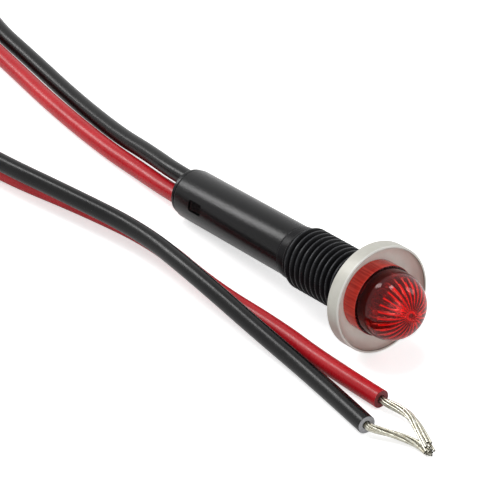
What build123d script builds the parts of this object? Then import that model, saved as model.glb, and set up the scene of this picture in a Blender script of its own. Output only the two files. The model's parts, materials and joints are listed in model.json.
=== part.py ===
"""Neon indicator lamp for an 8 mm panel hole, lying on a surface with its two leads folded back.

The lamp is drawn about the X axis with the panel seat at x = 0 and the lens towards +X.
It is then rolled about that axis, tipped until the bezel's rim and the rear edge of the
housing both touch the surface, and set down so that the origin is below its middle.
Millimetres throughout; +Z is up and z = 0 is the surface.
"""
from build123d import *
import math
import os

# ---------------------------------------------------------------- driving dimensions
# Fits
slip = 0.05              # radial clearance of plastic pieces that slide together
snug = 0.02              # radial clearance of soft or crimped pieces

# Threaded bushing
thread_dia = 8.0         # outside diameter of the M8 x 1 thread
thread_len = 12.3        # from the panel seat to the end of the full thread
thread_runout = 0.8      # cone between the full thread and the collar
thread_relief = 0.3      # chamfer at the bezel
collar_dia = 6.96
collar_len = 1.27
bushing_bore = 4.8
bushing_tail_len = 4.0   # spigot that the rear housing is pushed onto
bushing_nose_dia = 6.8   # spigot that passes through the bezel and carries the lens
bushing_nose_front = 3.6 # x of its front end
bushing_nose_edge = 0.2  # chamfer at its front end

# Bezel, a turned cup whose floor is held between the lens and the bushing's shoulder
bezel_dia = 13.84
bezel_height = 2.23
bezel_floor = 0.38
bezel_lip = 0.30         # width of the flat front lip
bezel_rear_round = 0.40
bezel_lip_round = 0.10
bezel_recess = 0.10      # shallow recess in the rear that centres the bushing's shoulder
recess_slip = 0.10
dish_floor_margin = 0.35 # flat floor showing round the lens
dish_belly_inset = 0.42  # the dished side passes this far inside the lip ...
dish_belly_rise = 0.60   # ... at this height above the floor

# Lens
skirt_dia = 9.1
skirt_len = 2.23         # from the bezel's floor to the step
dome_dia = 8.64
dome_neck = 1.40         # straight part between the step and the round dome
lens_wall = 0.80
lens_bore_extra = 0.1    # the lens's bore reaches this far past the bushing's nose
dimple_dia = 0.80
dimple_depth = 0.28
flute_count = 24
flute_depth = 0.26
flute_top = 9.0          # degrees from the lens axis where the flutes start ...
flute_foot = 86.0        # ... and where they end

# Rear housing, a moulded tube that tapers slightly to the rear
housing_front_dia = 6.73
housing_rear_dia = 6.56
housing_len = 21.8
housing_bore = 5.7
housing_edge = 0.15      # rounding of the rear edge
window_len = 2.5
window_width = 1.5
window_from_rear = 3.15
window_turn = 10.0       # degrees about the axis, from the line across the two leads

# Rear plug
plug_lip_dia = 6.24
plug_lip_len = 0.62
plug_lip_round = 0.20
plug_gap = 0.21          # dark gap between the lip and the housing
plug_neck_dia = 5.4
plug_depth = 6.4
barb_rise = 0.30
barb_flat = 0.5          # flat crest behind the ramp
barb_gap = 0.10          # free space in front of and beside the barb; its rear face bears on the window

# Leads
lead_dia = 2.35
lead_spacing = 2.6       # between the two holes in the plug
lead_slip = 0.05
lead_inside = 1.0        # insulation that reaches past the plug
tail_dia = 0.76          # twisted conductor
tail_len = 2.4
tip_straight = 0.8       # where a stripped end leaves the insulation

# Neon bulb
bulb_dia = 4.0
bulb_wall = 0.4
bulb_seal_rear = -5.2    # x of the rear of the glass
bulb_len = 10.6          # to the front of the round end
bulb_seal_len = 1.3      # solid glass round the wires
pip_dia = 0.7            # where the glass was drawn off
pip_len = 0.35
electrode_dia = 0.6
electrode_len = 5.6
electrode_spacing = 1.5
bulb_wire_dia = 0.4
grommet_len = 3.6
grommet_gap = 0.2        # the grommet's rear ring starts this far behind the glass ...
grommet_ring_len = 0.6   # ... and holds it with a smaller hole
grommet_hole_dia = 3.2

# Ballast resistor and splices
branch_spacing = 2.4     # between the resistor's line and the return line
resistor_dia = 2.0
resistor_len = 6.3
resistor_end_dia = 2.15
resistor_end_len = 1.2
resistor_wire_dia = 0.5
resistor_wire_len = 4.2
crimp_dia = 1.15
crimp_len = 3.0
crimp_dent = 0.12
wire_entry = 1.3         # how far each wire reaches into a crimp
sleeve_wall = 0.16
sleeve_overhang = 0.7
return_sleeve_dia = 0.8
return_sleeve_len = 11.0

# How the lamp lies
roll = -23.7             # degrees about its own axis

# Lead routes on the surface, chosen by hand; the points before them come from the plug
lead_exit_run = 3.0      # straight stretch behind the plug
surface = lead_dia / 2
black_route = [
    (-33.2, 1.35, 3.25), (-41.0, 1.9, 2.2), (-53.5, 3.5, 1.25), (-66.0, 5.1, surface),
    (-76.4, 7.85, surface), (-86.6, 10.6, surface), (-95.9, 7.4, surface), (-101.9, -0.5, surface),
    (-102.4, -10.3, surface), (-97.4, -18.9, surface), (-88.5, -23.0, surface), (-77.0, -21.3, 1.3),
    (-65.0, -19.6, 2.4), (-54.0, -17.15, 3.6), (-42.5, -15.85, 3.7), (-30.5, -13.15, 3.55),
    (-18.0, -10.6, 3.3), (-5.5, -11.3, 3.3), (6.5, -11.3, 2.0), (18.5, -11.45, surface),
    (29.5, -12.6, surface),
]
red_route = [
    (-32.8, -0.35, 1.35), (-40.5, -0.4, surface), (-53.0, 0.35, surface), (-65.5, 1.9, surface),
    (-75.6, 4.6, surface), (-85.9, 7.4, surface), (-93.6, 4.8, surface), (-98.5, -1.7, surface),
    (-98.9, -9.8, surface), (-94.9, -16.6, surface), (-87.5, -20.2, surface), (-77.0, -18.6, surface),
    (-65.0, -16.9, surface), (-54.0, -16.05, surface), (-42.5, -14.55, surface), (-30.5, -11.15, surface),
    (-18.0, -8.6, surface), (-5.0, -9.55, surface), (7.0, -8.5, surface), (16.3, -8.6, surface),
    (26.4, -7.9, surface),
]
black_tip_route = [(33.0, -11.2, 0.8), (37.7, -9.75, 0.45)]
red_tip_route = [(31.0, -7.6, 1.35), (34.0, -8.5, 1.45), (37.0, -9.5, 1.35)]

# ---------------------------------------------------------------- sizes that follow
thread_r = thread_dia / 2
collar_front = -thread_len - thread_runout
collar_rear = collar_front - collar_len
housing_rear = collar_rear - housing_len
plug_front = housing_rear + plug_depth
lip_front = housing_rear - plug_gap
lip_rear = lip_front - plug_lip_len
floor_x = bezel_floor
step_x = floor_x + skirt_len
dome_x = step_x + dome_neck
dome_r = dome_dia / 2
tip_x = dome_x + dome_r
nose_r = bushing_nose_dia / 2
lens_bore_r = nose_r + slip
cavity_r = dome_r - lens_wall
lead_r = lead_dia / 2
lead_start = plug_front + lead_inside
hole_r = lead_r + lead_slip
plug_body_r = housing_bore / 2 - slip
window_rear = housing_rear + window_from_rear
window_front = window_rear + window_len
bulb_r = bulb_dia / 2
bulb_front = bulb_seal_rear + bulb_len
seal_front = bulb_seal_rear + bulb_seal_len
branch = branch_spacing / 2


def turned(*outline):
    """A solid of revolution about X from (x, radius) points."""
    return revolve(make_face(Polyline(*outline, close=True)), Axis.X)


def rod(x0, x1, dia, z=0.0):
    """A round bar parallel to X."""
    return Pos((x0 + x1) / 2, 0, z) * Cylinder(dia / 2, abs(x1 - x0), rotation=(0, 90, 0))


def pipe(x0, x1, outer, inner, z=0.0):
    """A round tube parallel to X."""
    return rod(x0, x1, outer, z) - rod(x0, x1, inner, z)


def along(path, dia):
    """A round bar that follows a path."""
    return sweep(Plane(origin=path @ 0, z_dir=path % 0) * Circle(dia / 2), path=path)


# ---------------------------------------------------------------- bezel, bushing, lens
def make_bezel():
    rim_r = bezel_dia / 2
    lip_r = rim_r - bezel_lip
    bore_r = nose_r + slip
    recess_r = thread_r + recess_slip
    dish_r = skirt_dia / 2 + dish_floor_margin
    belly = (floor_x + dish_belly_rise, lip_r - dish_belly_inset)
    dish = ThreePointArc((bezel_height, lip_r), belly, (floor_x, dish_r))
    rest = Polyline(
        (floor_x, dish_r), (floor_x, bore_r), (bezel_recess, bore_r), (bezel_recess, recess_r),
        (0, recess_r), (0, rim_r), (bezel_height, rim_r), (bezel_height, lip_r))
    bezel = revolve(make_face([dish, rest]), Axis.X)
    rim_edges = [e for e in bezel.edges().filter_by(GeomType.CIRCLE) if abs(e.radius - rim_r) < 1e-6]
    rear_edge = min(rim_edges, key=lambda e: e.center().X)
    bezel = fillet(rear_edge, bezel_rear_round)
    rim_edges = [e for e in bezel.edges().filter_by(GeomType.CIRCLE) if abs(e.radius - rim_r) < 1e-6]
    front_edge = max(rim_edges, key=lambda e: e.center().X)
    return fillet(front_edge, bezel_lip_round)


def make_bushing():
    tail_r = housing_bore / 2 - slip
    bore_r = bushing_bore / 2
    return turned(
        (bushing_nose_front, nose_r - bushing_nose_edge), (bushing_nose_front - bushing_nose_edge, nose_r),
        (bezel_recess, nose_r), (bezel_recess, thread_r - thread_relief),
        (bezel_recess - thread_relief, thread_r),
        (-thread_len, thread_r), (collar_front, collar_dia / 2), (collar_rear, collar_dia / 2),
        (collar_rear, tail_r), (collar_rear - bushing_tail_len, tail_r),
        (collar_rear - bushing_tail_len, bore_r), (bushing_nose_front, bore_r))


def make_lens():
    skirt_r = skirt_dia / 2
    bore_end = bushing_nose_front + lens_bore_extra
    dome = ThreePointArc(
        (dome_x, dome_r), (dome_x + dome_r * math.sin(math.radians(45)), dome_r * math.cos(math.radians(45))),
        (tip_x, 0))
    cavity = ThreePointArc(
        (dome_x, cavity_r),
        (dome_x + cavity_r * math.sin(math.radians(45)), cavity_r * math.cos(math.radians(45))),
        (dome_x + cavity_r, 0))
    outside = Polyline(
        (dome_x, dome_r), (step_x, dome_r), (step_x, skirt_r), (floor_x, skirt_r), (floor_x, lens_bore_r),
        (bore_end, lens_bore_r), (bore_end, cavity_r), (dome_x, cavity_r))
    lens = revolve(make_face([dome, outside, cavity, Line((tip_x, 0), (dome_x + cavity_r, 0))]), Axis.X)
    lens -= rod(tip_x - dimple_depth, tip_x + 1, dimple_dia)
    return lens - make_flutes()


def make_flutes():
    """The grooves inside the dome, each a slice of the wall that narrows towards the tip."""
    def at(radius, degrees):
        a = math.radians(degrees)
        return dome_x + radius * math.cos(a), radius * math.sin(a)

    inner_r = cavity_r - 0.1
    outer_r = cavity_r + flute_depth
    middle = (flute_top + flute_foot) / 2
    outline = make_face([
        ThreePointArc(at(outer_r, flute_top), at(outer_r, middle), at(outer_r, flute_foot)),
        Line(at(outer_r, flute_foot), at(inner_r, flute_foot)),
        ThreePointArc(at(inner_r, flute_foot), at(inner_r, middle), at(inner_r, flute_top)),
        Line(at(inner_r, flute_top), at(outer_r, flute_top)),
    ])
    pitch = 360 / flute_count
    flute = revolve(outline, Axis.X, revolution_arc=pitch / 2)
    return [Rot(k * pitch, 0, 0) * flute for k in range(flute_count)]


# ---------------------------------------------------------------- rear housing and plug
def make_window(side):
    middle = (window_rear + window_front) / 2
    cutter = Box(window_len, housing_rear_dia, window_width)
    return Rot(window_turn, 0, 0) * Pos(middle, side * (housing_bore / 4 + housing_rear_dia / 2), 0) * cutter


def make_housing():
    tube = turned(
        (collar_rear, housing_front_dia / 2), (collar_rear, housing_bore / 2),
        (housing_rear, housing_bore / 2), (housing_rear, housing_rear_dia / 2 - housing_edge),
        (housing_rear + housing_edge, housing_rear_dia / 2))
    return tube - [make_window(side) for side in (-1, 1)]


def make_barb(side):
    """A ramp that springs into the housing's window, steep towards the rear."""
    front = window_front - barb_gap
    width = window_width - 2 * barb_gap
    top_r = plug_body_r + barb_rise
    root_r = plug_body_r - barb_rise
    outline = Polyline(
        (window_rear, root_r), (window_rear, top_r), (window_rear + barb_flat, top_r), (front, plug_body_r),
        (front, root_r), close=True)
    barb = extrude(make_face(outline), width / 2, both=True)
    return Rot(window_turn, 0, 0) * (mirror(barb, Plane.XZ) if side < 0 else barb)


def make_plug():
    lip_r = plug_lip_dia / 2
    edge = plug_lip_round
    neck_r = plug_neck_dia / 2
    plug = turned(
        (lip_rear, 0), (lip_rear, lip_r - edge), (lip_rear + edge, lip_r), (lip_front, lip_r),
        (lip_front, neck_r), (housing_rear, neck_r), (housing_rear, plug_body_r),
        (plug_front, plug_body_r), (plug_front, 0))
    plug += [make_barb(side) for side in (-1, 1)]
    return plug - [rod(lip_rear, plug_front, 2 * hole_r, side * lead_spacing / 2) for side in (-1, 1)]


# ---------------------------------------------------------------- neon bulb
def make_grommet():
    rear = bulb_seal_rear - grommet_gap
    front = rear + grommet_len
    grommet = pipe(rear, front, bushing_bore - 2 * snug, bulb_dia + 2 * snug)
    return grommet + pipe(rear - grommet_ring_len, rear, bushing_bore - 2 * snug, grommet_hole_dia)


def make_bulb():
    """A glass capsule, solid where the wires leave it, with the drawn-off pip in front."""
    round_x = bulb_front - bulb_r
    inner_r = bulb_r - bulb_wall
    outside = rod(bulb_seal_rear, round_x, bulb_dia) + Pos(round_x, 0, 0) * Sphere(bulb_r)
    inside = rod(seal_front, round_x, 2 * inner_r) + Pos(round_x, 0, 0) * Sphere(inner_r)
    bulb = outside - inside + rod(bulb_front - bulb_wall / 2, bulb_front + pip_len, pip_dia)
    holes = [rod(bulb_seal_rear, seal_front, bulb_wire_dia, side * electrode_spacing / 2) for side in (-1, 1)]
    return bulb - holes


def make_electrode(side):
    return rod(seal_front, seal_front + electrode_len, electrode_dia, side * electrode_spacing / 2)


def make_bulb_wire(side, end_x):
    """From the electrode through the glass, then spread to the splice's line."""
    start_z = side * electrode_spacing / 2
    end_z = side * branch
    path = FilletPolyline(
        (seal_front, 0, start_z), (bulb_seal_rear - 1.2, 0, start_z), (bulb_seal_rear - 2.6, 0, end_z),
        (end_x, 0, end_z), radius=1.2)
    return along(path, bulb_wire_dia)


# ---------------------------------------------------------------- resistor and splices
rear_crimp_x = lead_start + tail_len - wire_entry + crimp_len
resistor_rear = rear_crimp_x - wire_entry + resistor_wire_len
resistor_front = resistor_rear + resistor_len
front_crimp_rear = resistor_front + resistor_wire_len - wire_entry
return_sleeve_rear = rear_crimp_x + 2 * sleeve_overhang


def make_resistor():
    bar = rod(resistor_rear, resistor_front, resistor_dia, branch)
    caps = [
        rod(resistor_rear, resistor_rear + resistor_end_len, resistor_end_dia, branch),
        rod(resistor_front - resistor_end_len, resistor_front, resistor_end_dia, branch),
    ]
    return bar + caps


def make_crimp(rear, z, rear_wire, front_wire):
    """A short metal tube squeezed round the ends of two wires."""
    front = rear + crimp_len
    bar = rod(rear, front, crimp_dia, z)
    dent = Pos((rear + front) / 2, 0, z) * (
        Box(0.8, 2 * crimp_dia, 2 * crimp_dia) - Box(0.8, crimp_dia - 2 * crimp_dent, 2 * crimp_dia))
    return bar - dent - rod(rear, rear + wire_entry, rear_wire, z) - rod(front - wire_entry, front, front_wire, z)


def make_sleeve(rear, z):
    bore = crimp_dia + 2 * snug
    return pipe(rear - sleeve_overhang, rear + crimp_len + sleeve_overhang, bore + 2 * sleeve_wall, bore, z)


def make_tail(side):
    """The stripped conductor of a lead, bent from the lead's line to the splice's line."""
    lead_z = side * lead_spacing / 2
    crimp_z = side * branch
    path = FilletPolyline(
        (lead_start, 0, lead_z), (lead_start + 0.5, 0, lead_z), (lead_start + 1.0, 0, crimp_z),
        (lead_start + tail_len, 0, crimp_z), radius=0.8)
    return along(path, tail_dia)


# ---------------------------------------------------------------- how the lamp lies
def lay_down():
    """Tip the lamp until the bezel's rear rounding and the housing's rear edge both touch the surface."""
    bezel_x = bezel_rear_round
    bezel_ring = bezel_dia / 2 - bezel_rear_round
    rear_x = housing_rear + housing_edge
    rear_ring = housing_rear_dia / 2 - housing_edge
    apart = math.hypot(bezel_x - rear_x, bezel_ring - rear_ring)
    slope = math.atan2(bezel_ring - rear_ring, bezel_x - rear_x)
    tilt = slope + math.asin((bezel_rear_round - housing_edge) / apart)
    seat_height = bezel_ring * math.cos(tilt) + bezel_rear_round - bezel_x * math.sin(tilt)
    rear_reach = lip_rear * math.cos(tilt) - (plug_lip_dia / 2 - plug_lip_round) * math.sin(tilt)
    front_reach = dome_x * math.cos(tilt) + dome_r
    middle = (rear_reach + front_reach) / 2
    return Pos(-middle, 0, seat_height) * Rot(0, -math.degrees(tilt), 0) * Rot(roll, 0, 0), math.degrees(tilt)


place, tilt = lay_down()


def placed_point(x, z):
    p = (place * Pos(x, 0, z)).position
    return p.X, p.Y, p.Z


# ---------------------------------------------------------------- leads
def corner_radii(points):
    """The largest bend at each corner that leaves a tenth of each run straight."""
    radii = []
    corners = [Vector(p) for p in points]
    for before, here, after in zip(corners, corners[1:], corners[2:]):
        u = here - before
        w = after - here
        half_turn = math.radians(u.get_angle(w)) / 2
        radii.append(0.45 * min(u.length, w.length) / math.tan(half_turn))
    return radii


def make_lead(name, side, route):
    start = placed_point(lead_start, side * lead_spacing / 2)
    leave = placed_point(lip_rear - lead_exit_run, side * lead_spacing / 2)
    points = [start, leave] + route
    radii = corner_radii(points)
    path = FilletPolyline(*points, radius=radii)
    print(name, "length", round(path.length, 1), "bend radii", [round(r, 1) for r in radii])
    lead = along(path, lead_dia)
    print(name, "volume over section x length", round(lead.volume / (math.pi * lead_r ** 2 * path.length), 4))
    return lead


def make_tip(route, tip):
    """The stripped, twisted end, which leaves the cut face of the insulation squarely."""
    end = Vector(*route[-1])
    ahead = (end - Vector(*route[-2])).normalized()
    points = [end, end + ahead * tip_straight] + [Vector(*p) for p in tip]
    return along(FilletPolyline(*points, radius=corner_radii(points)), tail_dia)


# ---------------------------------------------------------------- pieces
local_pieces = {
    "lens": make_lens(),
    "bezel": make_bezel(),
    "threaded_bushing": make_bushing(),
    "rear_housing": make_housing(),
    "rear_plug": make_plug(),
    "bulb_grommet": make_grommet(),
    "bulb_envelope": make_bulb(),
    "electrode_upper": make_electrode(1),
    "electrode_lower": make_electrode(-1),
    "bulb_wire_upper": make_bulb_wire(1, front_crimp_rear + crimp_len - wire_entry),
    "bulb_wire_lower": make_bulb_wire(-1, rear_crimp_x - wire_entry),
    "resistor_body": make_resistor(),
    "resistor_front_wire": rod(resistor_front, front_crimp_rear + wire_entry, resistor_wire_dia, branch),
    "resistor_rear_wire": rod(rear_crimp_x - wire_entry, resistor_rear, resistor_wire_dia, branch),
    "crimp_front": make_crimp(front_crimp_rear, branch, resistor_wire_dia, bulb_wire_dia),
    "crimp_black": make_crimp(rear_crimp_x - crimp_len, branch, tail_dia, resistor_wire_dia),
    "crimp_red": make_crimp(rear_crimp_x - crimp_len, -branch, tail_dia, bulb_wire_dia),
    "sleeve_front": make_sleeve(front_crimp_rear, branch),
    "sleeve_black": make_sleeve(rear_crimp_x - crimp_len, branch),
    "sleeve_red": make_sleeve(rear_crimp_x - crimp_len, -branch),
    "return_wire_sleeve": pipe(
        return_sleeve_rear, return_sleeve_rear + return_sleeve_len, return_sleeve_dia,
        bulb_wire_dia + 2 * snug, -branch),
    "black_lead_tail": make_tail(1),
    "red_lead_tail": make_tail(-1),
}
pieces = {name: place * piece for name, piece in local_pieces.items()}
pieces["black_lead"] = make_lead("black lead", 1, black_route)
pieces["red_lead"] = make_lead("red lead", -1, red_route)
pieces["black_lead_tip"] = make_tip(black_route, black_tip_route)
pieces["red_lead_tip"] = make_tip(red_route, red_tip_route)

os.makedirs("parts", exist_ok=True)
for name, piece in pieces.items():
    export_step(piece, f"parts/{name}.step")
print(len(pieces), "pieces, tilt", round(tilt, 2), "degrees")
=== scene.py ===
"""The looks of a panel-mount neon indicator lamp that lies on a pale surface with its leads folded back.

The lamp's own pieces are drawn about the X axis in millimetres, with the panel seat at x = 0 and the
lens towards +X, as in the CAD. A roll about that axis and then LYING put them where the CAD has the
lamp, and LAMP is both in one. The leads' routes are in millimetres in the row frame, and the camera, the
lights and the floor are in metres in it.
"""

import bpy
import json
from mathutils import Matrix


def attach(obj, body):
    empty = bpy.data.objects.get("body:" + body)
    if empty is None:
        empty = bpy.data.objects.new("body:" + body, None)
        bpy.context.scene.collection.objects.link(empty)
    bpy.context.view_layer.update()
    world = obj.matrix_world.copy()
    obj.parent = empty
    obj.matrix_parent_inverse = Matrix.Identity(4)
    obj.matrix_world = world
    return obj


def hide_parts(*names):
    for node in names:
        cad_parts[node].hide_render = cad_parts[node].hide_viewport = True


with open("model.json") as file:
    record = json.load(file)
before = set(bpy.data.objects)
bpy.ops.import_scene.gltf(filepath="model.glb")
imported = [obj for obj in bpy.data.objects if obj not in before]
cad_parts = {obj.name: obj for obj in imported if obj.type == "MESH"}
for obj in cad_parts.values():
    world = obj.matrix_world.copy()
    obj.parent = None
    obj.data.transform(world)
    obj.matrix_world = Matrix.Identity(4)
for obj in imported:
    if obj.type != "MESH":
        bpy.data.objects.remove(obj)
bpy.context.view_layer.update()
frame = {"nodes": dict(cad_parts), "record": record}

import json
import math
import random

import bmesh
import bpy
from mathutils import Matrix, Vector

MM = 0.001
FULL = 2 * math.pi
SMOOTH_ANGLE = 32

# ---------------------------------------------------------------- sizes, in mm, as in the CAD
THREAD_R = 4.0
THREAD_ROOT_R = 3.44
THREAD_PITCH = 1.0
THREAD_LEN = 12.3
THREAD_START = 0.2
RUNOUT = 0.8
COLLAR_R = 3.48
COLLAR_REAR = -14.37
SPIGOT_R = 2.8
SPIGOT_REAR = -18.37
BUSHING_BORE_R = 2.4
BEZEL_R = 6.92
BEZEL_HEIGHT = 2.23
BEZEL_BORE_R = 3.45
BEZEL_RECESS = 0.10
BEZEL_RECESS_R = 4.10
LIP_WIDTH = 0.30
FLOOR_X = 0.38
SKIRT_R = 4.55
STEP_X = 2.61
DOME_X = 4.01
DOME_R = 4.32
CAVITY_R = 3.52
RIB_DEPTH = 0.22
FLUTE_COUNT = 24
HOUSING_REAR = -36.17
HOUSING_FRONT_R = 3.365
HOUSING_REAR_R = 3.28
HOUSING_BORE_R = 2.85
WINDOW_LEN = 2.5
WINDOW_HEIGHT = 1.5
WINDOW_X = HOUSING_REAR + 3.15 + WINDOW_LEN / 2
WINDOW_TURN = math.radians(10)
PLUG_DEPTH = 6.4
PLUG_R = 2.8
PLUG_LIP_R = 3.12
PLUG_LIP_FRONT = HOUSING_REAR - 0.21
PLUG_REAR = HOUSING_REAR - 0.83
NOSE_R = 3.4
NOSE_FRONT = 3.6
LEAD_DIA = 2.35
END_LEN = 1.6
TIP_STRAIGHT = 0.8
ROLL = math.radians(-23.7)


# ---------------------------------------------------------------- where the lamp lies
def lying_matrix():
    """The tilted lamp's place before its roll, from the thread's mount, which points to the rear."""
    mount = next(m for m in frame["record"]["mounts"] if m["name"] == "panel_thread")
    rearward = Vector(mount["axis"])
    tilt = math.atan2(-rearward.z, -rearward.x)
    thread_middle = (THREAD_LEN + THREAD_START) / 2
    seat = Vector(mount["pos_m"]) - rearward * thread_middle * MM
    return Matrix.Translation(seat) @ Matrix.Rotation(-tilt, 4, "Y")


LYING = lying_matrix()
LAMP = LYING @ Matrix.Rotation(ROLL, 4, "X")


# ---------------------------------------------------------------- camera
def make_camera():
    """A long lens from above the lamp's lens end, at the photo's viewing angle."""
    camera = bpy.data.objects.new("camera", bpy.data.cameras.new("camera"))
    bpy.context.collection.objects.link(camera)
    camera.data.lens = 288
    camera.data.sensor_width = 36
    camera.data.clip_start = 0.01
    camera.location = (0.32887, -0.25730, 0.27129)
    camera.rotation_euler = [math.radians(a) for a in (57.552, -0.087, 52.833)]
    bpy.context.scene.camera = camera


make_camera()

# ---------------------------------------------------------------- leads
SURFACE = LEAD_DIA / 2
LEAD_START_X = -28.77
LEAD_EXIT_X = -40.0
HOLE_OFFSET = 1.3

# Control points in the row frame, in mm: from the plug, round a loop to the rear and back past the lamp.
BLACK_ROUTE = [
    (-33.2, 1.35, 3.25), (-41.0, 1.9, 2.2), (-53.5, 3.5, 1.25), (-66.0, 5.1, SURFACE),
    (-76.4, 6.2, SURFACE), (-86.6, 9.6, SURFACE), (-95.9, 7.4, SURFACE), (-101.9, -0.5, SURFACE),
    (-102.4, -10.3, SURFACE), (-97.4, -18.9, SURFACE), (-88.5, -23.0, SURFACE), (-77.0, -21.3, 1.3),
    (-65.0, -19.6, 2.4), (-54.0, -17.15, 3.6), (-42.5, -15.85, 3.7), (-30.5, -13.15, 3.55),
    (-18.0, -10.6, 3.3), (-5.5, -11.3, 3.3), (6.5, -11.3, 2.0), (18.5, -11.45, SURFACE),
    (29.5, -12.6, SURFACE),
]
RED_ROUTE = [
    (-32.8, -0.35, 1.35), (-40.5, -0.4, SURFACE), (-53.0, 0.35, SURFACE), (-65.5, 1.9, SURFACE),
    (-75.6, 3.1, SURFACE), (-85.9, 6.8, SURFACE), (-93.6, 4.8, SURFACE), (-98.5, -1.7, SURFACE),
    (-98.9, -9.8, SURFACE), (-94.9, -16.6, SURFACE), (-87.5, -20.2, SURFACE), (-77.0, -18.6, SURFACE),
    (-65.0, -16.9, SURFACE), (-54.0, -16.05, SURFACE), (-42.5, -14.55, SURFACE), (-30.5, -11.15, SURFACE),
    (-18.0, -8.6, SURFACE), (-5.0, -9.55, SURFACE), (7.0, -8.5, SURFACE), (16.3, -8.6, SURFACE),
    (26.4, -7.9, SURFACE),
]
BLACK_TIP = [(33.3, -10.35, 0.7), (36.0, -9.55, 0.6), (38.2, -9.85, 0.5)]
RED_TIP = [(31.0, -7.5, 1.5), (34.4, -8.6, 1.6), (38.3, -9.9, 1.1)]


def lead_points(side, route):
    """The lead's control points in metres: two in the plug's hole and then its route."""
    inside = [LAMP @ (Vector((x, 0, side * HOLE_OFFSET)) * MM) for x in (LEAD_START_X, LEAD_EXIT_X)]
    return inside + [Vector(p) * MM for p in route]


def open_spline(name, points, radius):
    """A curve with one open NURBS spline that has these control points, each with this radius."""
    curve = bpy.data.curves.new(name, "CURVE")
    curve.dimensions = "3D"
    spline = curve.splines.new("NURBS")
    spline.points.add(len(points) - 1)
    for control, point in zip(spline.points, points):
        control.co = (*point, 1)
        control.radius = radius
    spline.order_u = 3
    spline.use_endpoint_u = True
    spline.resolution_u = 24
    return curve


def make_cord(name, points, diameter):
    """A cord along these control points. They carry its radius, so its bevel is 1, and its box fits it."""
    curve = open_spline(name, points, diameter / 2)
    curve.bevel_depth = 1.0
    curve.bevel_resolution = 12
    curve.use_fill_caps = True
    cord = bpy.data.objects.new(name, curve)
    bpy.context.collection.objects.link(cord)
    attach(cord, "root")
    return cord


def nurbs_line(points):
    """Points along the NURBS spline that has these control points."""
    curve = open_spline("line", points, 1.0)
    holder = bpy.data.objects.new("line", curve)
    mesh = bpy.data.meshes.new_from_object(holder)
    line = [v.co.copy() for v in mesh.vertices]
    bpy.data.objects.remove(holder)
    bpy.data.curves.remove(curve)
    bpy.data.meshes.remove(mesh)
    return line


# ---------------------------------------------------------------- shapes
def arc_through(a, b, c, steps):
    """Points on the circle through three points, from a to c."""
    (ax, ay), (bx, by), (cx, cy) = a, b, c
    d = 2 * (ax * (by - cy) + bx * (cy - ay) + cx * (ay - by))
    aa, bb, cc = ax * ax + ay * ay, bx * bx + by * by, cx * cx + cy * cy
    mx = (aa * (by - cy) + bb * (cy - ay) + cc * (ay - by)) / d
    my = (aa * (cx - bx) + bb * (ax - cx) + cc * (bx - ax)) / d
    radius = math.hypot(ax - mx, ay - my)
    start = math.atan2(ay - my, ax - mx)
    turn_b = (math.atan2(by - my, bx - mx) - start) % FULL
    turn_c = (math.atan2(cy - my, cx - mx) - start) % FULL
    if turn_b > turn_c:
        turn_c -= FULL
    angles = [start + turn_c * k / steps for k in range(steps + 1)]
    return [(mx + radius * math.cos(t), my + radius * math.sin(t)) for t in angles]


def rounded(outline, closed=True):
    """The outline with its corners rounded. Each corner is (x, r) or (x, r, corner radius)."""
    points = []
    count = len(outline)
    for k, corner in enumerate(outline):
        here = Vector(corner[:2])
        at_end = not closed and k in (0, count - 1)
        if len(corner) < 3 or at_end:
            points.append(tuple(here))
            continue
        into = (here - Vector(outline[k - 1][:2])).normalized()
        out = (Vector(outline[(k + 1) % count][:2]) - here).normalized()
        turn = into.angle(out)
        setback = corner[2] * math.tan(turn / 2)
        first, last = here - into * setback, here + out * setback
        bulge = (out - into).normalized()
        centre = here + bulge * (corner[2] / math.cos(turn / 2))
        middle = centre - bulge * corner[2]
        steps = max(3, round(math.degrees(turn) / 12))
        points += arc_through(tuple(first), tuple(middle), tuple(last), steps)
    return points


def shade_smooth(mesh, angle):
    """Shades the mesh smooth across edges flatter than this angle in degrees."""
    mesh.polygons.foreach_set("use_smooth", [True] * len(mesh.polygons))
    mesh.set_sharp_from_angle(angle=math.radians(angle))


def new_piece(name, verts, faces, material, place=None, smooth_angle=SMOOTH_ANGLE, turn=0.0):
    """A mesh piece from points in millimetres, shaded smooth across edges flatter than the angle.

    Without a place it is a piece of the lamp. Its mesh then holds the roll and the turn about the X axis,
    so that its box fits it.
    """
    mesh = bpy.data.meshes.new(name)
    mesh.from_pydata([tuple(c * MM for c in v) for v in verts], [], faces)
    if place is None:
        mesh.transform(Matrix.Rotation(ROLL + turn, 4, "X"))
        place = LYING
    built = bmesh.new()
    built.from_mesh(mesh)
    bmesh.ops.recalc_face_normals(built, faces=built.faces)
    built.to_mesh(mesh)
    built.free()
    shade_smooth(mesh, smooth_angle)
    mesh.materials.append(material)
    piece = bpy.data.objects.new(name, mesh)
    bpy.context.collection.objects.link(piece)
    piece.matrix_world = place
    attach(piece, "root")
    return piece


def turned_grid(row_count, segments, point):
    """Vertices and faces of a closed ring-shaped solid about X. point(row, angle) gives x and radius."""
    verts = []
    for row in range(row_count):
        for k in range(segments):
            angle = FULL * k / segments
            x, radius = point(row, angle)
            verts.append((x, radius * math.cos(angle), radius * math.sin(angle)))
    faces = []
    for row in range(row_count):
        here, after = row * segments, (row + 1) % row_count * segments
        for k in range(segments):
            beside = (k + 1) % segments
            faces.append((here + k, here + beside, after + beside, after + k))
    return verts, faces


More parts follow.
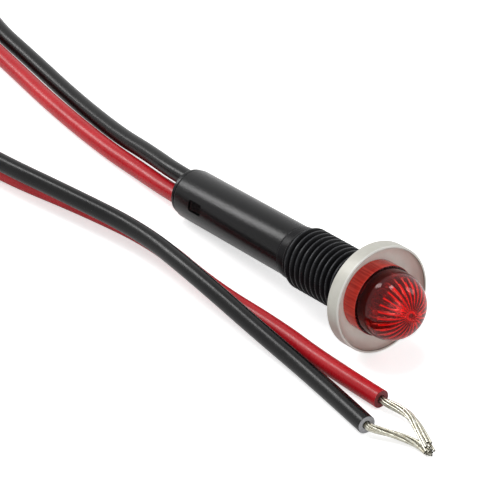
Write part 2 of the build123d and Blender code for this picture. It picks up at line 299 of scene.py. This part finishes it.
def lathe(name, outline, material, segments, offset=(0, 0), place=None):
    """A closed outline of (x, radius) turned about X. Points on the axis become one vertex."""
    verts, faces = [], []
    rings = []
    for x, radius in outline:
        if radius < 1e-6:
            rings.append([len(verts)] * segments)
            verts.append((x, offset[0], offset[1]))
            continue
        rings.append(list(range(len(verts), len(verts) + segments)))
        for k in range(segments):
            angle = FULL * k / segments
            verts.append((x, offset[0] + radius * math.cos(angle), offset[1] + radius * math.sin(angle)))
    for ring, after in zip(rings, rings[1:] + rings[:1]):
        for k in range(segments):
            beside = (k + 1) % segments
            corners = [ring[k], ring[beside], after[beside], after[k]]
            face = list(dict.fromkeys(corners))
            if len(face) > 2:
                faces.append(face)
    return new_piece(name, verts, faces, material, place)


def apply_boolean(piece, modifier, tool):
    """Puts the boolean's result into the piece and deletes the tool."""
    modifier.object = tool
    modifier.solver = "EXACT"
    bpy.context.view_layer.update()
    depsgraph = bpy.context.evaluated_depsgraph_get()
    mesh = bpy.data.meshes.new_from_object(piece.evaluated_get(depsgraph))
    piece.modifiers.clear()
    piece.data = mesh
    shade_smooth(mesh, SMOOTH_ANGLE)
    bpy.data.objects.remove(tool)


def cut(piece, cutter):
    """Takes the cutter away from the piece and deletes it."""
    apply_boolean(piece, piece.modifiers.new("cut", "BOOLEAN"), cutter)


def frames_along(line):
    """Each point of a line, with two directions across it that don't twist from point to point."""
    frames = []
    normal = None
    for k, point in enumerate(line):
        ahead = (line[min(k + 1, len(line) - 1)] - line[max(k - 1, 0)]).normalized()
        if normal is None:
            normal = ahead.orthogonal().normalized()
        normal = (normal - ahead * normal.dot(ahead)).normalized()
        frames.append((point, normal, ahead.cross(normal)))
    return frames


def tube_mesh(line, radius, sides, first):
    """Vertices and faces of a round bar along a line of points, with flat ends. first is the next index."""
    verts, faces = [], []
    for point, normal, across in frames_along(line):
        for s in range(sides):
            angle = FULL * s / sides
            out = normal * (radius * math.cos(angle)), across * (radius * math.sin(angle))
            verts.append(tuple(point + out[0] + out[1]))
    for k in range(len(line) - 1):
        for s in range(sides):
            a = first + k * sides + s
            b = first + k * sides + (s + 1) % sides
            faces.append((a, b, b + sides, a + sides))
    faces.append(tuple(first + s for s in reversed(range(sides))))
    faces.append(tuple(first + (len(line) - 1) * sides + s for s in range(sides)))
    return verts, faces


# ---------------------------------------------------------------- materials
class Graph:
    """A material's node tree, with short calls for the nodes used here, in millimetres."""

    def __init__(self, name, **sockets):
        self.material = bpy.data.materials.new(name)
        self.material.use_nodes = True
        self.tree = self.material.node_tree
        self.shader = self.tree.nodes["Principled BSDF"]
        for key, value in sockets.items():
            self.put(self.shader.inputs[key.replace("_", " ")], value)

    def put(self, socket, value):
        """Links an output to the socket, or sets the socket to a constant."""
        if isinstance(value, bpy.types.NodeSocket):
            self.tree.links.new(value, socket)
        else:
            socket.default_value = value

    def add(self, kind, inputs, **settings):
        """A node of this kind, with its inputs by name or number and its settings."""
        node = self.tree.nodes.new("ShaderNode" + kind)
        for key, value in settings.items():
            setattr(node, key, value)
        for key, value in inputs.items():
            self.put(node.inputs[key], value)
        return node

    def math(self, operation, a, b=0.0):
        return self.add("Math", {0: a, 1: b}, operation=operation).outputs[0]

    def stretched(self, vector, scale):
        return self.add("VectorMath", {0: vector, 1: scale}, operation="MULTIPLY").outputs[0]

    def millimetres(self):
        """The place on the piece, in its own frame."""
        return self.stretched(self.add("TexCoord", {}).outputs["Object"], (1000, 1000, 1000))

    def noise(self, vector, scale, detail=2.0, roughness=0.5):
        values = {"Vector": vector, "Scale": scale, "Detail": detail, "Roughness": roughness}
        return self.add("TexNoise", values).outputs["Fac"]

    def spread(self, value, low, high, to_low=0.0, to_high=1.0):
        """Maps low to high onto to_low to to_high, and holds what is past them."""
        values = {"Value": value, "From Min": low, "From Max": high, "To Min": to_low, "To Max": to_high}
        return self.add("MapRange", values).outputs["Result"]

    def blend(self, factor, a, b):
        mix = self.add("Mix", {}, data_type="RGBA")
        self.put(mix.inputs["Factor"], factor)
        self.put(mix.inputs[6], a)
        self.put(mix.inputs[7], b)
        return mix.outputs[2]

    def bump(self, height, depth_mm, strength=0.5):
        inputs = {"Height": height, "Distance": depth_mm * MM, "Strength": strength}
        return self.add("Bump", inputs).outputs["Normal"]

    def around_axis(self, vector):
        """x, the distance from the X axis, and the angle about it."""
        parts = self.add("SeparateXYZ", {0: vector})
        x, y, z = parts.outputs
        squares = self.math("ADD", self.math("MULTIPLY", y, y), self.math("MULTIPLY", z, z))
        return x, self.math("SQRT", squares), self.math("ARCTAN2", z, y)

    def lines(self, x, angle, around, along, detail=2.0, roughness=0.5):
        """Noise drawn out along the X axis, from its scale around the axis and its scale along it."""
        parts = {0: self.math("MULTIPLY", angle, around), 1: self.math("MULTIPLY", x, along)}
        return self.noise(self.add("CombineXYZ", parts).outputs[0], 1.0, detail, roughness)

    def finish(self, colour, roughness=None, normal=None):
        """Gives the shader its colour and, where they are given, its roughness and its normal."""
        for socket, value in (("Base Color", colour), ("Roughness", roughness), ("Normal", normal)):
            if value is not None:
                self.put(self.shader.inputs[socket], value)
        return self.material


def rgb(r, g, b):
    return (r, g, b, 1.0)


def nickel_material():
    """Turned satin nickel: fine rings round the axis, faint handling marks, a dish painted paler and greener
    to offset the shade and red light from the lens, a painted shadow line inside the lip and a painted
    highlight on the lip edge.
    """
    g = Graph("bezel_metal", Metallic=0.10, Specular_IOR_Level=0.30)
    place = g.millimetres()
    x, radius, _ = g.around_axis(place)
    ring_place = g.add("CombineXYZ", {0: x, 1: radius}).outputs[0]
    rings = g.noise(g.stretched(ring_place, (14, 14, 1)), 1.0, 3.0, 0.6)
    cloud = g.noise(place, 0.9, 3.0, 0.6)
    stain = g.spread(cloud, 0.35, 0.7)
    outside = g.blend(stain, rgb(0.60, 0.59, 0.535), rgb(0.55, 0.54, 0.48))
    # Painted light: the dish is paler and greener than the outside, to offset the shade and red light the
    # lens casts on it.
    dish = g.blend(stain, rgb(0.79, 0.82, 0.76), rgb(0.74, 0.77, 0.71))
    faces = g.blend(g.spread(radius, 6.50, 6.64), dish, outside)
    front = g.spread(x, BEZEL_HEIGHT - 0.25, BEZEL_HEIGHT - 0.10)
    # Painted shadow: a thin dark line just inside the lip, on the front.
    from_shadow_line = g.math("ABSOLUTE", g.math("SUBTRACT", radius, 6.60))
    line = g.math("MULTIPLY", g.spread(from_shadow_line, 0.04, 0.09, 1.0, 0.0), front)
    # Painted highlight: a pale band on the lip's outer edge.
    edge = g.math("MULTIPLY", g.spread(radius, 6.68, 6.74), front)
    with_shadow_line = g.blend(line, faces, rgb(0.25, 0.24, 0.21))
    colour = g.blend(edge, with_shadow_line, rgb(0.74, 0.735, 0.69))
    roughness = g.spread(g.math("ADD", rings, cloud), 0.6, 1.4, 0.38, 0.48)
    return g.finish(colour, roughness, g.bump(rings, 0.004))


def bushing_material():
    """Smooth black plastic with grey crests: partly wear from handling, partly a painted highlight along
    them.
    """
    g = Graph("bushing_black", Specular_IOR_Level=0.10)
    place = g.millimetres()
    _, radius, _ = g.around_axis(place)
    grain = g.noise(place, 7.0, 3.0, 0.65)
    # Grey on the crests: partly wear, partly a painted highlight.
    crest_wear_and_highlight = g.math("MULTIPLY", g.spread(radius, 3.93, THREAD_R), g.spread(grain, 0.4, 0.65, 0.3, 1.0))
    colour = g.blend(crest_wear_and_highlight, rgb(0.005, 0.005, 0.006), rgb(0.055, 0.057, 0.062))
    return g.finish(colour, g.spread(grain, 0.3, 0.7, 0.24, 0.36), g.bump(grain, 0.03))


def housing_material(name):
    """Moulded black plastic with a fine spark-eroded grain."""
    g = Graph(name, Specular_IOR_Level=0.21)
    place = g.millimetres()
    grain = g.noise(place, 4.5, 4.0, 0.75)
    scuff = g.noise(g.stretched(place, (0.5, 3, 3)), 1.0, 4.0, 0.6)
    colour = g.blend(g.spread(scuff, 0.5, 0.75), rgb(0.003, 0.003, 0.0035), rgb(0.005, 0.005, 0.005))
    return g.finish(colour, g.spread(grain, 0.3, 0.7, 0.14, 0.24), g.bump(grain, 0.035))


def insulation_material(name, dark, light, roughness, specular):
    """Extruded PVC: streaks drawn out along X, as the leads mostly lie, and a slightly uneven gloss."""
    g = Graph(name, Specular_IOR_Level=specular)
    place = g.millimetres()
    streaks = g.noise(g.stretched(place, (0.10, 0.9, 0.9)), 1.0)
    grain = g.noise(place, 2.0)
    gloss = g.spread(grain, 0.3, 0.7, roughness, roughness + 0.12)
    height = g.math("ADD", streaks, g.math("MULTIPLY", grain, 0.4))
    return g.finish(g.blend(g.spread(streaks, 0.35, 0.7), dark, light), gloss, g.bump(height, 0.03, 0.3))


def strand_material():
    """Tinned copper strands: a warm silver, browner in patches, and more so on some strands."""
    g = Graph("tinned_strand", Metallic=1.0)
    patches = g.noise(g.millimetres(), 2.2, 3.0, 0.6)
    own = g.add("NewGeometry", {}).outputs["Random Per Island"]
    tarnish = g.math("MULTIPLY", g.spread(patches, 0.42, 0.7), g.spread(own, 0, 1, 0.3, 1.0))
    colour = g.blend(tarnish, rgb(0.58, 0.57, 0.49), rgb(0.34, 0.30, 0.21))
    return g.finish(colour, g.spread(patches, 0.3, 0.7, 0.22, 0.40), g.bump(patches, 0.02))


def lens_material():
    """Clear moulded plastic, dyed red, with painted shade: dark at the step round the dome's foot and in its
    dimple.

    Its index is below real plastic's and its reflection is dimmed, so that a white surround doesn't veil
    the dome.
    """
    tint = rgb(0.62, 0.52, 0.54)
    g = Graph("lens_red", Transmission_Weight=0.95, IOR=1.40, Roughness=0.05, Specular_Tint=tint)
    x, radius, angle = g.around_axis(g.millimetres())
    flow = g.spread(g.lines(x, angle, 6.0, 0.1), 0.35, 0.65)
    clear = g.blend(flow, rgb(0.90, 0.045, 0.035), rgb(0.95, 0.065, 0.050))
    # Painted shade: the plastic turns dark towards the step round the dome's foot.
    reach = g.math("ADD", x, g.math("MULTIPLY", g.math("SUBTRACT", 4.3, radius), 2.0))
    wall = g.blend(g.spread(reach, 3.0, 5.0), rgb(0.12, 0.006, 0.010), clear)
    # Painted shade: dark in the dimple at the dome's tip.
    return g.finish(g.blend(g.spread(radius, 0.24, 0.34), rgb(0.16, 0.006, 0.004), wall))


def rib_material():
    """The ribs inside the dome, as a diffuse red surface: a painted bright red stands in for light reflected
    inside the plastic where they are seen through it, and a painted dark shade where they are seen from the
    cavity.
    """
    g = Graph("lens_rib", Roughness=0.6, Specular_IOR_Level=0.05)
    x, _, angle = g.around_axis(g.millimetres())
    shade = g.spread(g.lines(x, angle, 3.0, 0.1), 0.35, 0.65)
    painted_rib_light = g.blend(shade, rgb(0.80, 0.022, 0.016), rgb(0.95, 0.050, 0.038))
    # Painted light and shade: bright red seen through the plastic, near black seen from the cavity.
    through = g.add("NewGeometry", {}).outputs["Backfacing"]
    return g.finish(g.blend(through, rgb(0.05, 0.002, 0.002), painted_rib_light))


def skirt_material():
    """The lens's skirt, clouded, with fine lines along the axis."""
    g = Graph("lens_skirt", Transmission_Weight=0.25, IOR=1.49, Roughness=0.12, Specular_IOR_Level=0.3)
    x, _, angle = g.around_axis(g.millimetres())
    shade = g.spread(g.lines(x, angle, 12.0, 0.12, 4.0, 0.7), 0.36, 0.62)
    return g.finish(g.blend(shade, rgb(0.62, 0.016, 0.012), rgb(1.0, 0.075, 0.045)))


def plain_material(name, colour, roughness, metallic=0.0, grain_scale=4.0, grain_depth=0.02):
    """A finish with a fine grain in its gloss, for hidden pieces and cut faces."""
    g = Graph(name, Metallic=metallic)
    grain = g.noise(g.millimetres(), grain_scale, 3.0, 0.6)
    darker = rgb(*(c * 0.8 for c in colour[:3]))
    gloss = g.spread(grain, 0.3, 0.7, roughness, roughness + 0.1)
    return g.finish(g.blend(g.spread(grain, 0.35, 0.65), colour, darker), gloss, g.bump(grain, grain_depth))


LENS = lens_material()
LENS_RIB = rib_material()
LENS_SKIRT = skirt_material()
NICKEL = nickel_material()
BUSHING = bushing_material()
HOUSING = housing_material("housing_black")
PLUG = housing_material("plug_black")
BLACK_PVC = insulation_material(
    "lead_black", rgb(0.002, 0.002, 0.0025), rgb(0.005, 0.005, 0.005), 0.20, 0.23)
RED_PVC = insulation_material("lead_red", rgb(0.46, 0.009, 0.016), rgb(0.57, 0.017, 0.025), 0.22, 0.28)
STRAND = strand_material()
STRAND_CUT = plain_material("strand_cut", rgb(0.030, 0.024, 0.018), 0.6, 0.3, 12.0, 0.01)
BLACK_CUT = plain_material("black_cut", rgb(0.40, 0.40, 0.42), 0.55, grain_scale=5.0, grain_depth=0.06)
RED_CUT = plain_material("red_cut", rgb(0.17, 0.006, 0.010), 0.45, grain_scale=5.0, grain_depth=0.06)


# ---------------------------------------------------------------- lens
def make_lens():
    """The cap-shaped lens, as one surface: a skirt with a ribbed bore, and a dome with flutes inside."""
    bore_r = NOSE_R + 0.05
    skirt = [(FLOOR_X, bore_r), (FLOOR_X, SKIRT_R, 0.06), (STEP_X, SKIRT_R, 0.10), (STEP_X, DOME_R)]
    outside = rounded(skirt, closed=False)
    dome_steps = 44
    dimple_r, dimple_depth = 0.42, 0.26
    dome = []
    for k in range(dome_steps + 1):
        polar = math.radians(90) * (1 - k / dome_steps)
        radius = DOME_R * math.sin(polar)
        if radius < dimple_r:
            break
        dome.append((DOME_X + DOME_R * math.cos(polar), radius))
    edge_x = DOME_X + math.sqrt(DOME_R ** 2 - dimple_r ** 2)
    bottom_x = DOME_X + DOME_R - dimple_depth
    dimple = [(edge_x, dimple_r), (edge_x - 0.03, dimple_r - 0.04), (bottom_x, 0.2),
              (bottom_x - 0.04, 0.004)]
    cavity_steps = 48
    flute_depth = 0.26
    steps_per_flute = 8
    rib_steps = (3, 4)
    segments = FLUTE_COUNT * steps_per_flute
    dark_top, flute_top, rib_foot, flute_foot = (math.radians(a) for a in (5, 9, 64, 84))
    inside = [math.radians(90) * k / cavity_steps for k in range(cavity_steps + 1)]
    bore = [(NOSE_FRONT + 0.2, CAVITY_R), (NOSE_FRONT + 0.1, bore_r), (STEP_X, bore_r),
            (STEP_X - 0.1, bore_r + RIB_DEPTH), (FLOOR_X + 0.2, bore_r + RIB_DEPTH), (FLOOR_X + 0.1, bore_r)]
    fixed = outside + dome + dimple

    def point(row, angle):
        if row < len(fixed):
            return fixed[row]
        row -= len(fixed)
        if row <= cavity_steps:
            polar = max(inside[row], 0.002)
            fade = min(1, (polar - flute_top) / 0.12, (flute_foot - polar) / 0.05)
            wave = abs((angle * FLUTE_COUNT / FULL) % 1 * 2 - 1)
            radius = CAVITY_R + flute_depth * wave * max(0, fade)
            return DOME_X + radius * math.cos(polar), radius * math.sin(polar)
        x, radius = bore[row - cavity_steps - 1]
        if radius > bore_r + 0.1:
            radius -= RIB_DEPTH * abs((angle * 2 * FLUTE_COUNT / FULL) % 1 * 2 - 1)
        return x, radius

    rows = len(fixed) + cavity_steps + 1 + len(bore)
    verts, faces = turned_grid(rows, segments, point)
    lens = new_piece("lens_body", verts, faces, LENS, smooth_angle=24)
    lens.data.materials.append(LENS_RIB)
    lens.data.materials.append(LENS_SKIRT)
    for face in lens.data.polygons:
        row, k = divmod(face.index, segments)
        inner_row = row - len(fixed)
        if row < len(outside) and min(fixed[row][1], fixed[row + 1][1]) > SKIRT_R - 0.05:
            face.material_index = 2
        # The rib material, with its painted light and shade, goes on alternate flute facets and on a ring
        # round the dimple.
        elif 0 <= inner_row < cavity_steps:
            polar = inside[inner_row]
            on_rib = k % steps_per_flute in rib_steps and flute_top < polar < rib_foot
            face.material_index = int(on_rib or dark_top < polar <= flute_top)
    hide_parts("lens")


# ---------------------------------------------------------------- bezel
def make_bezel():
    """The metal ring: a recess round its bore behind, and a dish in front that curves up to its lip."""
    lip_r = BEZEL_R - LIP_WIDTH
    floor_r = SKIRT_R + 0.35
    dish = arc_through((BEZEL_HEIGHT, lip_r), (FLOOR_X + 0.60, lip_r - 0.42), (FLOOR_X, floor_r), 24)
    outline = rounded([
        (FLOOR_X, BEZEL_BORE_R), (BEZEL_RECESS, BEZEL_BORE_R), (BEZEL_RECESS, BEZEL_RECESS_R),
        (0, BEZEL_RECESS_R, 0.03), (0, BEZEL_R, 0.40), (BEZEL_HEIGHT, BEZEL_R, 0.10),
        (BEZEL_HEIGHT, lip_r + 0.02)])
    bezel = lathe("bezel_ring", outline + dish[1:], NICKEL, 224)
    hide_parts("bezel")


# ---------------------------------------------------------------- threaded bushing
def thread_radius(x, angle):
    """The outside of the M8 x 1 thread at this place, with its run-out and its bevelled start."""
    phase = (x / THREAD_PITCH - angle / FULL) % 1
    from_crest = abs(phase - 0.5) * 2
    rise = min(1, max(0, (0.86 - from_crest) / 0.66))
    rise = rise * rise * (3 - 2 * rise) * 0.35 + rise * 0.65
    crest = THREAD_R - max(0, (-THREAD_LEN - x) / RUNOUT) * (THREAD_R - COLLAR_R)
    crest = min(crest, THREAD_R - max(0, x + THREAD_START))
    floor = COLLAR_R if x < -THREAD_LEN - RUNOUT else THREAD_ROOT_R
    return max(floor, THREAD_ROOT_R + (crest - THREAD_ROOT_R) * rise)


def make_bushing():
    """The bushing as one surface: the nose under the lens, the thread, the collar and the rear spigot."""
    steps_per_turn = 16
    span = THREAD_LEN + RUNOUT + BEZEL_RECESS
    rows = int(span * steps_per_turn)
    thread = [BEZEL_RECESS - span * k / rows for k in range(rows + 1)]
    nose = [(NOSE_FRONT, BUSHING_BORE_R), (NOSE_FRONT, NOSE_R, 0.18), (BEZEL_RECESS, NOSE_R)]
    front = rounded(nose, closed=False)
    rear = rounded([
        (-THREAD_LEN - RUNOUT - 0.02, COLLAR_R), (COLLAR_REAR, COLLAR_R, 0.18), (COLLAR_REAR, SPIGOT_R),
        (SPIGOT_REAR, SPIGOT_R, 0.2), (SPIGOT_REAR, BUSHING_BORE_R)], closed=False)

    def point(row, angle):
        if row < len(front):
            return front[row]
        row -= len(front)
        if row < len(thread):
            return thread[row], thread_radius(thread[row], angle)
        return rear[row - len(thread)]

    verts, faces = turned_grid(len(front) + len(thread) + len(rear), 144, point)
    bushing = new_piece("bushing_thread", verts, faces, BUSHING, smooth_angle=40)
    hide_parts("threaded_bushing")


# ---------------------------------------------------------------- rear housing and plug
def rounded_box(size, centre, corner):
    """A box-shaped cutter, rounded along its edges in Y, in the lamp's frame at the windows' turn."""
    mesh = bpy.data.meshes.new("cutter")
    built = bmesh.new()
    bmesh.ops.create_cube(built, size=1)
    for vertex in built.verts:
        vertex.co = Vector([vertex.co[k] * size[k] for k in range(3)])
    upright = [e for e in built.edges if abs((e.verts[0].co - e.verts[1].co).y) > 1e-6]
    bmesh.ops.bevel(built, geom=upright, offset=corner, segments=5, profile=0.5, affect="EDGES")
    for vertex in built.verts:
        vertex.co = (vertex.co + Vector(centre)) * MM
    built.to_mesh(mesh)
    built.free()
    cutter = bpy.data.objects.new("cutter", mesh)
    bpy.context.collection.objects.link(cutter)
    cutter.matrix_world = LAMP @ Matrix.Rotation(WINDOW_TURN, 4, "X")
    return cutter


def make_housing():
    """The rear tube with a snap window on each side."""
    outline = rounded([
        (COLLAR_REAR, HOUSING_BORE_R, 0.05), (COLLAR_REAR, HOUSING_FRONT_R, 0.20),
        (HOUSING_REAR, HOUSING_REAR_R, 0.15), (HOUSING_REAR, HOUSING_BORE_R, 0.08)])
    housing = lathe("housing_tube", outline, HOUSING, 144)
    for side in (-1, 1):
        cut(housing, rounded_box((WINDOW_LEN, 2.0, WINDOW_HEIGHT), (WINDOW_X, side * 3.3, 0), 0.25))
    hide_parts("rear_housing")


def add_barb(plug, side):
    """The plug's ramp in a window of the housing, joined to the plug's mesh."""
    rear, front = WINDOW_X - WINDOW_LEN / 2, WINDOW_X + WINDOW_LEN / 2 - 0.1
    root_r, top_r = 2.5, 3.1
    profile = [(rear, root_r), (rear, 3.04), (rear + 0.07, top_r), (rear + 0.45, top_r), (rear + 0.56, 3.07),
               (front, PLUG_R), (front, root_r)]
    half = WINDOW_HEIGHT / 2 - 0.1
    verts = [(x, side * y, z) for z in (-half, half) for x, y in profile]
    count = len(profile)
    faces = [list(range(count)), list(range(count, 2 * count))]
    faces += [(k, (k + 1) % count, count + (k + 1) % count, count + k) for k in range(count)]
    barb = new_piece(f"plug_barb_{side}", verts, faces, PLUG, turn=WINDOW_TURN)
    modifier = plug.modifiers.new("barb", "BOOLEAN")
    modifier.operation = "UNION"
    apply_boolean(plug, modifier, barb)


def make_plug():
    """The rear plug: a lip, a gap behind the housing, a body with two lead holes, and two barbs."""
    gap_r = 2.7
    plug_front = HOUSING_REAR + PLUG_DEPTH
    outline = rounded([
        (PLUG_REAR, 0), (PLUG_REAR, PLUG_LIP_R, 0.2), (PLUG_LIP_FRONT, PLUG_LIP_R, 0.06),
        (PLUG_LIP_FRONT, gap_r), (HOUSING_REAR, gap_r), (HOUSING_REAR, PLUG_R),
        (plug_front, PLUG_R, 0.2), (plug_front, 0)], closed=False)
    plug = lathe("plug_body", outline, PLUG, 128)
    bore_r = LEAD_DIA / 2 + 0.05
    past_rear, past_front = -40, -28
    bore = [(past_rear, 0), (past_rear, bore_r), (past_front, bore_r), (past_front, 0)]
    for side in (-1, 1):
        cut(plug, lathe("bore", bore, PLUG, 64, (0, side * HOLE_OFFSET)))
        add_barb(plug, side)
    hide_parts("rear_plug")


make_lens()
make_bezel()
make_bushing()
make_housing()
make_plug()


# ---------------------------------------------------------------- the pieces inside, in their CAD shape
def glass_material():
    """Lamp glass, a little uneven where it was drawn. Its index is lowered as the lens's is."""
    g = Graph("bulb_glass", Transmission_Weight=1.0, IOR=1.25, Roughness=0.02)
    wave = g.noise(g.stretched(g.millimetres(), (0.3, 0.8, 0.8)), 1.0)
    colour = g.blend(wave, rgb(0.93, 0.95, 0.96), rgb(0.86, 0.89, 0.90))
    return g.finish(colour, normal=g.bump(wave, 0.05, 0.4))


INSIDE = {
    glass_material(): ["bulb_envelope"],
    plain_material("grommet_grey", rgb(0.25, 0.25, 0.25), 0.65, grain_scale=3.0): ["bulb_grommet"],
    plain_material("electrode_nickel", rgb(0.50, 0.48, 0.46), 0.35, 1.0): [
        "electrode_upper", "electrode_lower"],
    plain_material("tinned_wire", rgb(0.68, 0.66, 0.62), 0.25, 1.0): [
        "bulb_wire_upper", "bulb_wire_lower", "resistor_front_wire", "resistor_rear_wire"],
    plain_material("resistor_tan", rgb(0.52, 0.40, 0.24), 0.40, grain_scale=2.0): ["resistor_body"],
    plain_material("crimp_tin", rgb(0.60, 0.58, 0.54), 0.32, 1.0): [
        "crimp_front", "crimp_black", "crimp_red"],
    plain_material("sleeve_white", rgb(0.80, 0.78, 0.74), 0.50): [
        "sleeve_front", "sleeve_black", "sleeve_red", "return_wire_sleeve"],
    STRAND: ["black_lead_tail", "red_lead_tail"],
}
for material, names in INSIDE.items():
    for name in names:
        node = frame["nodes"][name]
        for index in range(len(node.data.materials)):
            node.data.materials[index] = material


# ---------------------------------------------------------------- stripped ends
def end_matrix(point, ahead):
    """Puts a local X axis along the lead at this point, both in millimetres."""
    turn = Vector((1, 0, 0)).rotation_difference(ahead).to_matrix().to_4x4()
    return Matrix.Translation(point * MM) @ turn


def make_hollow_end(colour, end, ahead, material, cut_material):
    """The last stretch of insulation, hollow, with its cut face."""
    outer, bore, edge = LEAD_DIA / 2, 0.54, 0.05
    wall = 0.2
    outline = [(0, 0), (0, outer), (END_LEN - edge, outer), (END_LEN, outer - edge), (END_LEN, bore + 0.03),
               (END_LEN - edge, bore), (wall, bore), (wall, 0)]
    place = end_matrix(end - ahead * END_LEN, ahead)
    piece = lathe(f"{colour}_lead_end", outline, material, 64, place=place)
    piece.data.materials.append(cut_material)
    for face in piece.data.polygons:
        across = math.hypot(face.center.y, face.center.z) / MM
        face.material_index = int(face.center.x > 0.1 * MM and across < outer - edge)
    return piece


def make_strands(colour, route, seed, twist):
    """Seven tinned strands, loosely twisted, as one mesh. The route is in millimetres."""
    frames = frames_along(nurbs_line(route))
    dice = random.Random(seed)
    count, radius, sides = 7, 0.15, 10
    close, spread = 0.29, 0.16
    verts, faces, cut_faces = [], [], []
    for strand in range(count):
        turn = FULL * strand / (count - 1)
        reach = 0 if strand == count - 1 else dice.uniform(0.85, 1.2)
        sway, phase = dice.uniform(0.05, 0.14), dice.uniform(0, FULL)
        last = len(frames) - 1 - dice.randrange(0, 6)
        path = []
        for k in range(last + 1):
            t = k / (len(frames) - 1)
            point, across, up = frames[k]
            away = reach * (close + spread * (1 - math.cos(math.pi * t)) / 2)
            angle = turn + twist * FULL * t + 0.5 * sway * math.sin(5 * t + phase)
            drift = sway * t * math.sin(7 * t + phase)
            centre = point + across * (away * math.cos(angle) + drift) + up * (away * math.sin(angle))
            centre.z = max(centre.z, radius + 0.01)
            path.append(centre)
        more_verts, more_faces = tube_mesh(path, radius, sides, len(verts))
        verts += more_verts
        faces += more_faces
        cut_faces.append(len(faces) - 1)
    strands = new_piece(f"{colour}_strands", verts, faces, STRAND, Matrix.Identity(4), 50)
    strands.data.materials.append(STRAND_CUT)
    for index in cut_faces:
        strands.data.polygons[index].material_index = 1
    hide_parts(f"{colour}_lead_tip")
    return strands


# ---------------------------------------------------------------- leads in the scene
# side of the plug, route, tip, materials, stated length in metres, twist in turns, seed
LEADS = {
    "black": (1, BLACK_ROUTE, BLACK_TIP, BLACK_PVC, BLACK_CUT, 0.2403, 0.55, 8),
    "red": (-1, RED_ROUTE, RED_TIP, RED_PVC, RED_CUT, 0.2267, 0.45, 6),
}
STRAND_SINK = 0.3
for colour, (side, route, tip, material, cut_material, length, twist, seed) in LEADS.items():
    end = Vector(route[-1])
    ahead = (end - Vector(route[-2])).normalized()
    points = lead_points(side, route)
    points[-1] -= ahead * END_LEN * MM
    cord = make_cord(f"{colour}_lead_cord", points, LEAD_DIA * MM)
    cord.data.materials.append(material)
    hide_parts(f"{colour}_lead")
    hollow = make_hollow_end(colour, end, ahead, material, cut_material)
    tip_points = [end - ahead * (END_LEN - STRAND_SINK), end, end + ahead * TIP_STRAIGHT]
    tip_points += [Vector(p) for p in tip]
    strands = make_strands(colour, tip_points, seed, twist)


# ---------------------------------------------------------------- floor and light
FLOOR_SEEN = 0.60
FLOOR_MIRRORED = 0.20
WORLD_LIGHT = 0.30


def make_floor():
    """A pale surface to lie on, with a little light of its own so that it meets the white surround."""
    mesh = bpy.data.meshes.new("floor")
    half = 3.0
    corners = [(-half, -half, 0), (half, -half, 0), (half, half, 0), (-half, half, 0)]
    mesh.from_pydata(corners, [], [(0, 1, 2, 3)])
    floor = bpy.data.objects.new("floor", mesh)
    bpy.context.collection.objects.link(floor)
    g = Graph("floor_white", Base_Color=rgb(0.86, 0.86, 0.86), Roughness=0.9)
    rays = g.add("LightPath", {}).outputs
    seen = g.math("MULTIPLY", rays["Is Camera Ray"], FLOOR_SEEN)
    in_shine = g.math("MAXIMUM", rays["Is Glossy Ray"], rays["Is Transmission Ray"])
    mirrored = g.math("MULTIPLY", in_shine, FLOOR_MIRRORED)
    g.put(g.shader.inputs["Emission Color"], rgb(1, 1, 1))
    g.put(g.shader.inputs["Emission Strength"], g.math("MAXIMUM", seen, mirrored))
    mesh.materials.append(g.material)


def make_world():
    """A white surround that the camera, glossy surfaces and glass see, and that lights the rest less."""
    world = bpy.data.worlds.new("world")
    bpy.context.scene.world = world
    world.use_nodes = True
    tree = world.node_tree
    background = tree.nodes["Background"]
    background.inputs["Color"].default_value = rgb(1, 1, 1)
    rays = tree.nodes.new("ShaderNodeLightPath").outputs
    strength = None
    for name in ("Is Camera Ray", "Is Glossy Ray", "Is Transmission Ray"):
        pick = tree.nodes.new("ShaderNodeMath")
        pick.operation = "MAXIMUM"
        tree.links.new(rays[name], pick.inputs[0])
        if strength is None:
            pick.inputs[1].default_value = WORLD_LIGHT
        else:
            tree.links.new(strength, pick.inputs[1])
        strength = pick.outputs[0]
    tree.links.new(strength, background.inputs["Strength"])


def make_softbox(name, direction, distance, size, radiance):
    """An even area light, seen from the lamp in this direction, as bright as this against a white of 1."""
    light = bpy.data.lights.new(name, "AREA")
    light.shape = "RECTANGLE"
    light.size, light.size_y = size
    light.energy = radiance * math.pi * size[0] * size[1]
    holder = bpy.data.objects.new(name, light)
    bpy.context.collection.objects.link(holder)
    holder.location = Vector(direction).normalized() * distance
    holder.rotation_euler = Vector(direction).to_track_quat("Z", "Y").to_euler()


make_floor()
make_world()
make_softbox("softbox_left", (-0.70, -0.29, 0.65), 0.55, (0.12, 0.40), 10.5)
make_softbox("softbox_top", (0.0, 0.0, 1.0), 0.55, (0.11, 0.11), 14.0)
make_softbox("softbox_back", (0.336, 0.727, 0.60), 0.55, (0.14, 0.24), 4.5)
make_softbox("softbox_front", (0.85, -0.40, 0.35), 0.60, (0.45, 0.45), 1.4)

bpy.context.scene.view_settings.view_transform = "Standard"

bpy.context.view_layer.update()
